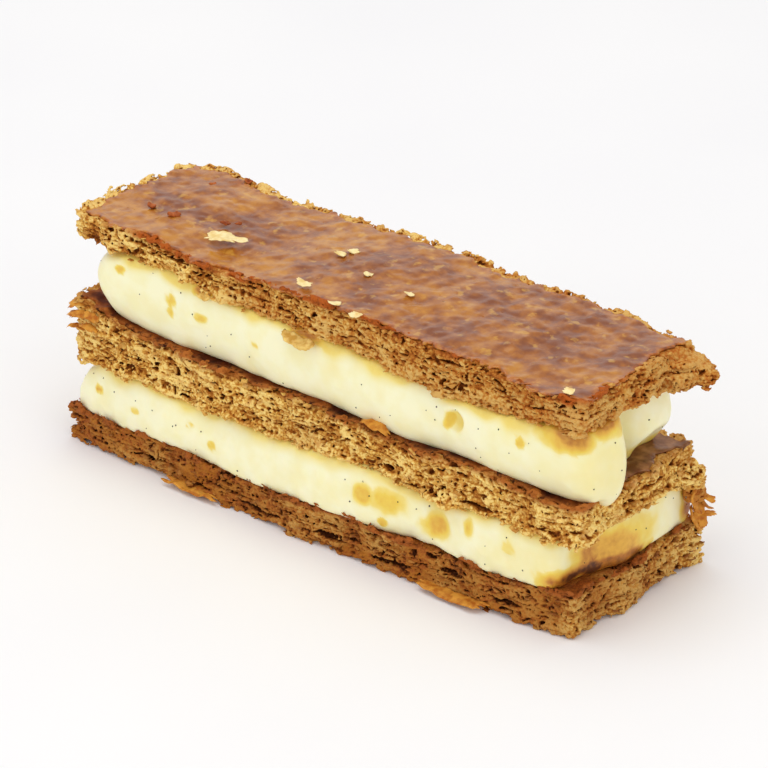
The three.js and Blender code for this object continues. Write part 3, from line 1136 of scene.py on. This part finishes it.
@dataclass(frozen=True)
class Leaf:
    """One loose leaf of pastry: a thin torn sheet with a curl. Angles are in degrees."""

    at: tuple[float, float, float]
    length: float
    width: float
    yaw: float = 0.0
    pitch: float = 0.0
    roll: float = 0.0
    curl: float = 0.0
    thickness: float = 0.25
    seed: int = 0
    rings: int = 7
    spokes: int = 56
    tear: float = 0.17
    ripple: float = 0.10

    def mesh(self) -> tuple[Array, Array, Array]:
        """Make the leaf's closed surface.

        Returns:
            Points in mm, triangles and quads.
        """
        rng = np.random.default_rng(self.seed + 900)
        turn = np.linspace(0, 2 * np.pi, self.spokes, endpoint=False)
        tear = sum(
            rng.normal(0, self.tear / k**0.9) * np.cos(k * turn + rng.uniform(0, 6.3)) for k in range(2, 20)
        )
        reach = (np.abs(np.cos(turn)) ** 3.2 + np.abs(np.sin(turn)) ** 3.2) ** (-1 / 3.2) * (1 + tear)
        share = (np.arange(1, self.rings + 1) / self.rings)[:, None]
        x = np.concatenate([[0], (share * reach * np.cos(turn)).ravel()]) * self.length / 2
        y = np.concatenate([[0], (share * reach * np.sin(turn)).ravel()]) * self.width / 2
        u, v = 2.1 / self.width, 2.4 / self.width
        wave = sum(
            rng.normal(0, self.ripple) * np.cos(k * x * u + rng.uniform(0, 6.3) + m * y * v)
            for k, m in ((1, 0), (1, 1), (2, -1), (0, 2), (3, 1))
        )
        z = self.curl * (2 * x / self.length) ** 2 + wave * min(1.0, self.width / 2)
        edge = np.concatenate([[0], np.repeat(share.ravel(), self.spokes)])
        half = self.thickness / 2 * np.sqrt(np.clip(1.02 - edge**4, 0, 1))
        top = np.stack([x, y, z + half], 1)
        low = np.stack([x, y, z - half], 1)
        count = len(top)
        ring = 1 + np.arange(self.rings)[:, None] * self.spokes + np.arange(self.spokes)
        after = np.roll(ring, -1, 1)
        fan = np.stack([np.zeros(self.spokes, int), ring[0], after[0]], 1)
        strip = np.stack([ring[:-1], ring[1:], after[1:], after[:-1]], 2).reshape(-1, 4)
        rim = np.stack([ring[-1], ring[-1] + count, after[-1] + count, after[-1]], 1)
        yaw, pitch, roll = (
            Matrix.Rotation(math.radians(angle), 3, axis)
            for angle, axis in ((self.yaw, "Z"), (self.pitch, "Y"), (self.roll, "X"))
        )
        points = np.concatenate([top, low]) @ np.array(yaw @ pitch @ roll).T + self.at
        triangles = np.concatenate([fan, fan[:, ::-1] + count])
        return points, triangles, np.concatenate([strip, strip[:, ::-1] + count, rim])


@dataclass(frozen=True)
class LooseLeaves:
    """A few leaves of one finish, joined as one piece."""

    name: str
    finish: LeafFinish
    slot: str
    leaves: tuple[Leaf, ...]

    def build(self) -> None:
        """Make every leaf and join them."""
        points, triangles, quads, count = [], [], [], 0
        for leaf in self.leaves:
            p, t, q = leaf.mesh()
            points.append(p)
            triangles.append(t + count)
            quads.append(q + count)
            count += len(p)
        piece = mesh_object(self.name, *(np.concatenate(part) for part in (points, triangles, quads)))
        LOG.info("%s: %d faces", self.name, len(piece.data.polygons))
        finish_piece(piece, self.finish.material(), self.slot)


class Form(Enum):
    """What a scatter is made of."""

    LEAF = "thin torn leaf"
    GRAIN = "rounded grain"


@dataclass(frozen=True)
class Scatter:
    """Small things spread by Geometry Nodes over the upright faces of a surface. Sizes are mm."""

    name: str
    form: Form
    finish: LeafFinish | VanillaSeed
    slot: str
    per_cm2: float
    size: tuple[float, float, float]
    seed: int
    steepest: float = 0.6
    sink: float = 0.0
    lean: float = 20.0
    ruffle: float = 0.0
    spread: tuple[float, float] = (0.5, 1.4)
    lowest: float = 1.3

    def build(self, surface: bpy.types.Object) -> None:
        """Spread the things over a surface and make them one plain mesh.

        Args:
            surface: the mesh object to spread them over; it is only read.
        """
        holder = bpy.data.objects.new(self.name + "_holder", surface.data.copy())
        bpy.context.scene.collection.objects.link(holder)
        modifier = holder.modifiers.new("scatter", "NODES")
        tree = self._tree()
        modifier.node_group = tree
        values = {
            "Density": self.per_cm2 * 1e4,
            "Size": tuple(s * MM for s in self.size),
            "Sink": self.sink * MM,
            "Lean": math.radians(self.lean),
            "Ruffle": self.ruffle * MM,
            "Smallest": self.spread[0],
            "Largest": self.spread[1],
            "Steepest": self.steepest,
            "Material": self.finish.material(),
        }
        for item in tree.interface.items_tree:
            if item.in_out == "INPUT" and item.name in values:
                modifier[item.identifier] = values[item.name]
        evaluated = holder.evaluated_get(bpy.context.evaluated_depsgraph_get())
        mesh = bpy.data.meshes.new_from_object(evaluated)
        mesh.name = self.name
        holder.modifiers.clear()
        bpy.data.objects.remove(holder)
        piece = bpy.data.objects.new(self.name, mesh)
        bpy.context.scene.collection.objects.link(piece)
        LOG.info("%s: %d faces", self.name, len(mesh.polygons))
        finish_piece(piece, values["Material"], self.slot)

    def _tree(self) -> bpy.types.NodeTree:
        """Build the node tree: points on the upright faces, and one thing on each, realized."""
        tree = bpy.data.node_groups.new(self.name, "GeometryNodeTree")
        face = tree.interface
        face.new_socket("Geometry", in_out="INPUT", socket_type="NodeSocketGeometry")
        for name in ("Density", "Sink", "Lean", "Ruffle", "Smallest", "Largest", "Steepest"):
            face.new_socket(name, in_out="INPUT", socket_type="NodeSocketFloat")
        face.new_socket("Size", in_out="INPUT", socket_type="NodeSocketVector")
        face.new_socket("Material", in_out="INPUT", socket_type="NodeSocketMaterial")
        face.new_socket("Geometry", in_out="OUTPUT", socket_type="NodeSocketGeometry")
        given = add_node(tree, "NodeGroupInput").outputs
        slope = add_node(tree, "ShaderNodeSeparateXYZ", None, {0: add_node(tree, "GeometryNodeInputNormal")})
        steep = add_node(tree, MATH, {"operation": "ABSOLUTE"}, {0: slope.outputs["Z"]})
        upright = add_node(tree, "FunctionNodeCompare", {"operation": "LESS_THAN"},
                           {0: steep, 1: given["Steepest"]})
        points = add_node(tree, "GeometryNodeDistributePointsOnFaces", {"distribute_method": "RANDOM"}, {
            "Mesh": given["Geometry"], "Selection": upright, "Density": given["Density"], "Seed": self.seed})
        outwards = points.outputs["Normal"]
        back = add_node(tree, "ShaderNodeVectorMath", {"operation": "SCALE"},
                        {0: outwards, "Scale": given["Sink"]})
        sunk = add_node(tree, "GeometryNodeSetPosition", None, {"Geometry": points, "Offset": back})
        facing = add_node(tree, "FunctionNodeAlignRotationToVector", {"axis": "Y", "pivot_axis": "Z"},
                          {"Vector": outwards})
        least = add_node(tree, MATH, TIMES, {0: given["Lean"], 1: -1.0})
        lean = add_node(tree, "FunctionNodeRandomValue", {"data_type": "FLOAT_VECTOR"},
                        {0: least, 1: given["Lean"], "Seed": self.seed + 1})
        leaning = add_node(tree, "FunctionNodeEulerToRotation", None, {0: lean})
        turned = add_node(tree, "FunctionNodeRotateRotation", {"rotation_space": "LOCAL"},
                          {0: facing, 1: leaning})
        scale = add_node(tree, "FunctionNodeRandomValue", {"data_type": "FLOAT_VECTOR"},
                         {0: given["Smallest"], 1: given["Largest"], "Seed": self.seed + 2})
        if self.form is Form.LEAF:
            thing = add_node(tree, "GeometryNodeMeshCube", None, {
                "Size": given["Size"], "Vertices X": 5, "Vertices Y": 3, "Vertices Z": 2})
        else:
            ball = add_node(tree, "GeometryNodeMeshIcoSphere", None, {"Radius": 0.5, "Subdivisions": 2})
            thing = add_node(tree, "GeometryNodeTransform", None, {"Geometry": ball, "Scale": given["Size"]})
        spot = add_node(tree, "GeometryNodeInputPosition")
        height = add_node(tree, "ShaderNodeSeparateXYZ", None, {0: spot})
        clear = add_node(tree, "FunctionNodeCompare", {"operation": "GREATER_THAN"},
                         {0: height.outputs["Z"], 1: self.lowest * MM})
        placed = add_node(tree, "GeometryNodeInstanceOnPoints", None, {
            "Points": sunk, "Selection": clear, "Instance": thing, "Rotation": turned, "Scale": scale})
        real = add_node(tree, "GeometryNodeRealizeInstances", None, {"Geometry": placed})
        noise = add_node(tree, NOISE, None, {"Scale": per_mm(1.1), "Detail": 1.0})
        centred = add_node(tree, "ShaderNodeVectorMath", {"operation": "SUBTRACT"},
                           {0: noise.outputs["Color"], 1: (0.5, 0.5, 0.5)})
        ruffle = add_node(tree, "ShaderNodeVectorMath", {"operation": "SCALE"},
                          {0: centred, "Scale": given["Ruffle"]})
        ruffled = add_node(tree, "GeometryNodeSetPosition", None, {"Geometry": real, "Offset": ruffle})
        soft = add_node(tree, "GeometryNodeSetShadeSmooth", None, {"Geometry": ruffled})
        dressed = add_node(tree, "GeometryNodeSetMaterial", None,
                           {"Geometry": soft, "Material": given["Material"]})
        add_node(tree, "NodeGroupOutput", None, {0: dressed})
        return tree


# ---------------------------------------------------------------- stage

@dataclass(frozen=True)
class Studio:
    """The pale floor, the soft light and the camera."""

    azimuth: float = 39.71
    elevation: float = 26.78
    distance: float = 0.6999
    lens_mm: float = 176.63
    aim_right: float = 0.00038
    aim_up: float = 0.00055
    floor_side: float = 6.0

    def build(self) -> None:
        """Build the floor, the world, the lights and the camera."""
        self._floor()
        self._light()
        self._camera()

    def _floor(self) -> None:
        """A wide pale board at the height that the slice stands on."""
        half = self.floor_side * 500
        corners = np.array([[-half, -half, 0], [half, -half, 0], [half, half, 0], [-half, half, 0]], float)
        floor = mesh_object("floor", corners, np.zeros((0, 3), int), np.array([[0, 1, 2, 3]]), False)
        floor.data.materials.append(PaleBoard().material())

    def _light(self) -> None:
        """White light from all round, and a broad soft light overhead."""
        scene = bpy.context.scene
        scene.view_settings.view_transform = "Standard"
        world = bpy.data.worlds.new("light_tent")
        scene.world = world
        world.use_nodes = True
        world.node_tree.nodes["Background"].inputs["Color"].default_value = (1.0, 1.0, 1.0, 1.0)
        world.node_tree.nodes["Background"].inputs["Strength"].default_value = 0.70
        for name, place, side, power in (
            ("overhead", (-0.05, -0.1, 1.0), 0.8, 3.2),
            ("back_window", (-0.62, 0.75, 0.52), 0.5, 0.25),
            ("right_fill", (1.0, -0.35, 0.5), 0.8, 1.6),
            ("front_fill", (-0.2, -1.0, 0.6), 0.8, 1.4),
        ):
            lamp = bpy.data.lights.new(name, "AREA")
            lamp.size = side
            lamp.energy = power
            holder = bpy.data.objects.new(name, lamp)
            holder.location = place
            towards = Vector((0, 0, 0.025)) - Vector(place)
            holder.rotation_euler = towards.to_track_quat("-Z", "Y").to_euler()
            scene.collection.objects.link(holder)

    def _camera(self) -> None:
        """The camera at the viewing angle, aimed a little off the middle of the slice."""
        turn, rise = math.radians(self.azimuth), math.radians(self.elevation)
        back = Vector((math.sin(turn) * math.cos(rise), -math.cos(turn) * math.cos(rise), math.sin(rise)))
        right = Vector((math.cos(turn), math.sin(turn), 0))
        up = back.cross(right)
        low, high = CAD_BOUNDS
        middle = (Vector(low) + Vector(high)) / 2
        lens = bpy.data.cameras.new("camera")
        lens.lens = self.lens_mm
        lens.sensor_width = 36.0
        lens.clip_start = 0.01
        camera = bpy.data.objects.new("camera", lens)
        camera.location = middle + right * self.aim_right + up * self.aim_up + back * self.distance
        camera.rotation_euler = back.to_track_quat("Z", "Y").to_euler()
        bpy.context.scene.collection.objects.link(camera)
        bpy.context.scene.camera = camera


def bottom_slab() -> PastrySlab:
    """The bottom slab: baked darkest, with slits low on its front."""
    crumb = BakedCrumb("well_baked_crumb", skin="a45a24", toasted="ac6a22", pit="461e06")
    return PastrySlab(
        "pastry_bottom", "bottom_slab", crumb, "pastry", 100,
        # The right end face is painted paler here: painted light from the right.
        toast=0.82, toast_slope=-0.05, lit_end_paling=0.3, rough_rim=0.34, rim_lift=0.6, gape=0.08,
        cells=(0.95, 0.95, 0.62), caves=(3.6, 2.6, 0.9),
        slits=(
            Slit(-42, 10, 0.40, 0.7, 0.01), Slit(-30, 9, 0.27, 0.9), Slit(-14, 11, 0.30, 0.8, -0.01),
            Slit(4, 8, 0.36, 0.9), Slit(18, 10, 0.32, 1.0, 0.01), Slit(31, 5, 0.52, 1.3),
            Slit(44, 7, 0.40, 0.6),
        ),
    )


def middle_slab() -> PastrySlab:
    """The middle slab: the palest crumb, under a thick red-brown crust."""
    return PastrySlab(
        "pastry_middle", "middle_slab", BakedCrumb("pale_baked_crumb", skin="b4682a"), "pastry", 200,
        skin_thickness=1.2, rough_rim=0.3, golden_rim=0.4, gape=0.05, open_caves=0.14,
        bulges=(Spot((59.2, 17.4, 16.0), (2.0, 2.6, 4.6)),),
        slits=(Slit(-5, 7, 0.45, 0.5), Slit(22, 9, 0.18, 0.5), Slit(36, 8, 0.16, 0.6)),
    )


def top_slab() -> PastrySlab:
    """The top slab, under the glaze, browner towards its right end."""
    return PastrySlab(
        "pastry_top", "top_slab", BakedCrumb("golden_baked_crumb", skin="b55a1c"), "glazed_pastry", 300,
        toast=0.26, toast_slope=0.28, skin_thickness=0.9, golden_rim=0.9, gape=0.03,
        bulges=(Spot((59.6, 10.8, 43.0), (4.2, 5.6, 3.2)), Spot((62.6, 13.0, 42.6), (3.6, 2.7, 2.2))),
        slits=(Slit(-36, 8, 0.72, 0.6), Slit(-18, 7, 0.7, 0.5), Slit(30, 7, 0.75, 0.7)),
    )


def upper_cream(finish: VanillaCream) -> CreamLayer:
    """The upper cream, with a burst bubble near its right end."""
    return CreamLayer(
        # Painted shade under the top slab, at the default strength.
        "cream_upper", "upper_cream", finish, "cream", 600, roof="pastry_top",
        marks=(
            Mark((-36.5, -17.6, 38.0), (1.0, 2, 1.3), 0.48), Mark((-36.8, -17.6, 35.4), (0.9, 2, 1.2), 0.44),
            Mark((-29.1, -17.8, 36.6), (1.7, 2, 1.2), 0.45), Mark((-15.2, -18, 35.5), (0.8, 2, 0.9), 0.42),
            Mark((-49.2, -17.9, 40.9), (1.8, 2, 0.9), 0.5), Mark((46.4, -18.3, 35.6), (0.8, 2, 1.0), 0.45),
            Mark((56.0, -17, 40.2), (9.0, 4, 3.4), 0.72), Mark((61.0, -9, 41.4), (5.0, 9, 3.2), 0.74),
            # Next line: the first mark paints the shadow on the burst bubble's inner wall.
            Mark((29.6, -17.0, 34.4), (1.1, 3, 1.9), 0.42), Mark((31.0, -16.5, 34.9), (2.6, 4, 2.3), 0.24),
            # Next line: the first mark is part caramel tint and part painted shade under the back lobe; the
            # second is painted shade where the top slab shades the right end.
            Mark((56.0, 9.0, 27.0), (8.0, 7.0, 3.0), 0.4), Mark((60.0, -12, 33.0), (12.0, 12, 8.0), 0.14),
            # Next line: painted shade in the hollows behind the two hanging leaves.
            Mark((-28.9, -17, 41.8), (2.6, 3, 1.5), 0.8), Mark((-3.2, -17, 40.8), (5.0, 3, 1.6), 0.75),
        ),
        dimples=(
            Spot((31.0, -18.2, 34.9), (2.4, 2.6, 2.1)), Spot((-28.9, -18.2, 41.6), (2.0, 2.0, 1.1)),
            Spot((-3.2, -18.4, 40.6), (4.0, 1.8, 1.2)), Spot((60.0, 9.0, 25.5), (7.5, 8.0, 6.5)),
        ),
        bulges=(Spot((58.4, -9.0, 31.5), (3.2, 3.4, 7.6)),),
    )


def lower_cream(finish: VanillaCream) -> CreamLayer:
    """The lower cream, stained and, at its right end, soaked with caramel."""
    return CreamLayer(
        "cream_lower", "lower_cream", finish, "cream", 500, step=0.36, grit=0.05, taller=1.14,
        # Painted shade under the middle slab.
        roof="pastry_middle", roof_shade=0.25,
        marks=(
            Mark((-56.3, -17.7, 12.8), (1.3, 3, 0.9), 0.64), Mark((-46.2, -18.4, 11.9), (1.2, 3, 0.7), 0.35),
            Mark((-31.6, -18.6, 13.6), (1.1, 3, 0.8), 0.4), Mark((-26.0, -18.9, 11.3), (1.2, 3, 1.0), 0.42),
            Mark((11.0, -19.0, 13.9), (2.8, 3, 2.5), 0.5), Mark((16.8, -18.6, 13.9), (4.6, 3, 3.0), 0.43),
            Mark((27.4, -18.4, 12.6), (4.6, 3, 2.4), 0.58), Mark((35.0, -18.1, 14.9), (1.8, 3, 2.6), 0.52),
            Mark((44.1, -18.2, 14.2), (1.6, 3, 1.2), 0.25), Mark((16.1, -19.3, 9.9), (1.2, 3, 0.8), 0.5),
            Mark((57.5, -5, 13.4), (6.5, 13, 6.0), 0.62), Mark((56.5, -10, 13.6), (4.0, 1.8, 2.4), 0.74),
            Mark((57.5, -3, 10.2), (6.0, 9, 2.6), 0.86), Mark((55.4, -13, 10.4), (5.5, 11, 3.0), 1.0),
            Mark((50.0, -18, 12.0), (14.0, 6, 6.0), 0.12),
            Mark((58.0, 18.5, 13.0), (4.0, 3.4, 7.0), 0.78),
        ),
        dimples=(
            Spot((69.0, -15.0, 12.0), (14.0, 17.0, 30.0)), Spot((-25.0, -20.6, 7.4), (2.2, 1.8, 1.4)),
            Spot((21.6, -20.4, 8.3), (2.6, 2.0, 1.3)), Spot((44.1, -19.8, 12.4), (1.8, 1.5, 1.5)),
        ),
    )


def loose_leaves() -> tuple[LooseLeaves, ...]:
    """The loose leaves and crumbs, grouped by finish."""
    pale = LeafFinish("pale_dry_leaf", "fbe7ac", "edcb80")
    red = LeafFinish("caramelised_leaf", "b8622a", "8a3d14")
    brown = LeafFinish("browned_curled_leaf", "dc9a3a", "b2641a")
    buttery = LeafFinish("buttery_hanging_leaf", "f4d27c", "cb9a40")
    return (
        LooseLeaves("pale_flakes", pale, "glazed_pastry", (
            Leaf((-30.6, -9.8, 50.0), 5.6, 3.8, 30, 3, 4, -0.2, 0.35, 1),
            Leaf((-27.9, -8.5, 49.8), 4.2, 1.9, 15, 4, 0, 0.1, 0.3, 2),
            Leaf((-9.1, -0.9, 49.6), 2.0, 1.4, 30, 10, 5, 0.2, 0.35, 3),
            Leaf((-7.9, 1.4, 49.6), 2.2, 1.6, 70, 5, 12, 0.2, 0.35, 4),
            Leaf((-6.1, -14.7, 49.5), 3.0, 2.0, 10, 4, 6, 0.3, 0.35, 5),
            Leaf((3.3, -17.2, 49.3), 2.2, 1.5, 60, 8, 4, 0.2, 0.35, 6),
            Leaf((9.0, -18.3, 49.2), 2.6, 1.6, 0, 6, 8, 0.2, 0.35, 7),
            Leaf((0.3, -4.3, 49.5), 1.8, 1.3, 45, 8, 8, 0.2, 0.35, 8),
            Leaf((11.2, -5.8, 49.4), 1.8, 1.2, 20, 12, 4, 0.2, 0.35, 9),
            Leaf((55.5, -16.6, 48.4), 2.0, 1.6, 15, 8, 4, 0.2, 0.35, 10),
        )),
        LooseLeaves("caramel_bits", red, "glazed_pastry", (
            Leaf((-50.6, -7.2, 49.7), 1.7, 1.5, 30, 10, 0, 0.1, 0.6, 11),
            Leaf((-44.5, -7.6, 49.7), 2.2, 1.7, 60, 0, 8, 0.1, 0.7, 12),
            Leaf((-34.7, -4.2, 49.6), 1.9, 1.2, 20, 8, 4, 0.1, 0.5, 13),
            Leaf((-32.6, -2.8, 49.6), 1.3, 1.0, 80, 0, 8, 0.1, 0.4, 14),
            Leaf((-48.6, 7.8, 49.6), 1.6, 1.0, 30, 4, 4, 0.1, 0.4, 15),
            Leaf((-44.2, 13.3, 49.6), 1.6, 1.2, 10, 4, 8, 0.1, 0.5, 16),
        )),
        LooseLeaves("curled_leaves", brown, "pastry", (
            Leaf((-61.4, -16.8, 29.8), 5.0, 2.0, 25, -12, 30, -0.8, 0.22, 21),
            Leaf((-60.5, -18.2, 28.2), 5.5, 1.8, 5, -6, 24, -0.9, 0.22, 22),
            Leaf((-62.2, -16.0, 26.8), 4.4, 1.8, 30, -12, 14, -0.7, 0.22, 23),
            Leaf((-57.0, -18.4, 28.6), 4.0, 1.6, 0, 4, 38, -0.5, 0.22, 24),
            Leaf((-61.0, -17.6, 25.2), 4.6, 1.8, 12, -4, 10, -0.5, 0.22, 28),
            Leaf((-57.6, -18.6, 26.4), 4.4, 1.6, 0, 6, 16, -0.6, 0.22, 29),
            Leaf((12.6, -17.6, 28.4), 6.0, 2.2, 0, 4, 16, -1.2, 0.25, 25),
            Leaf((59.8, 16.6, 15.0), 5.2, 3.6, 25, 80, 0, 0.6, 0.6, 31),
            Leaf((60.0, 17.8, 12.6), 5.6, 2.6, -10, 76, 0, -0.6, 0.6, 32),
            Leaf((59.8, 16.2, 11.4), 5.0, 2.8, 40, 70, 0, 0.5, 0.5, 37),
            Leaf((60.4, 18.2, 10.4), 3.6, 2.2, 10, 62, 20, -0.4, 0.5, 38),
            Leaf((61.2, 18.4, 15.0), 3.4, 1.4, 24, 20, 30, 0.5, 0.4, 33),
            Leaf((61.2, 18.8, 11.6), 3.2, 1.3, 35, -10, 20, -0.4, 0.4, 34),
            Leaf((61.0, 18.4, 13.4), 3.0, 1.2, 5, 30, -20, 0.4, 0.4, 39),
            Leaf((-30.0, -20.0, 1.2), 13.0, 2.6, 1, 0, 12, 0.2, 0.4, 35),
            Leaf((33.0, -20.1, 1.2), 15.0, 2.8, 0, 0, 10, 0.3, 0.5, 36),
        )),
        LooseLeaves("hanging_leaves", buttery, "glazed_pastry", (
            Leaf((-27.8, -17.9, 41.4), 2.8, 1.4, 0, 12, 40, 0.4, 0.2, 26),
            Leaf((-4.0, -18.9, 40.0), 7.0, 2.8, 0, 6, 26, 0.6, 0.2, 27),
        )),
    )


def main() -> None:
    """Build the stage and the slice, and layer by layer."""
    logging.basicConfig(level=logging.INFO, format="%(message)s")
    Studio().build()
    slabs = (bottom_slab(), middle_slab(), top_slab())
    for slab in slabs:
        slab.build()
    # Painted shade: the glaze under the cream overhang gets very dark colours for the shade it lies in, over
    # its own burnt-sugar brown.
    dark = CaramelGlaze("burnt_sugar_under_cream", amber="8c4412", caramel="521e06", burnt="300f03",
                        buttery="7a4418", edge="b0672a", roughness=0.6, wet_pool=True, specular=0.12)
    GlazeSheet(slabs[1], "middle_glaze", dark, "pastry", 410, inset=0.7, pool=0.85).build()
    GlazeSheet(slabs[2], "top_glaze", CaramelGlaze("caramelised_sugar_glaze"), "glazed_pastry", 420,
               bare_rim=1.3).build()
    cream = VanillaCream("piped_vanilla_cream")
    for layer in (lower_cream(cream), upper_cream(cream)):
        surface = layer.build()
        Scatter(f"{layer.name}_vanilla_seeds", Form.GRAIN, VanillaSeed(), "cream", 2.2, (0.36, 0.3, 0.3),
                layer.seed, 0.75, -0.02, 180, 0.0, (0.5, 1.2)).build(surface)
    leaves = (
        LeafFinish("dark_torn_leaf", "b87a34", "83491a"), LeafFinish("pale_torn_leaf", "e2b25c", "c08234"),
        LeafFinish("golden_torn_leaf", "dba550", "b4722a"),
    )
    for slab, torn in zip(slabs, leaves):
        Scatter(f"{slab.name}_torn_leaves", Form.LEAF, torn, slab.slot, 14.0, (1.2, 0.9, 0.18),
                slab.seed, 0.5, -0.05, 26, 0.6).build(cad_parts[slab.node])
    for group in loose_leaves():
        group.build()


if __name__ == "__main__":
    main()
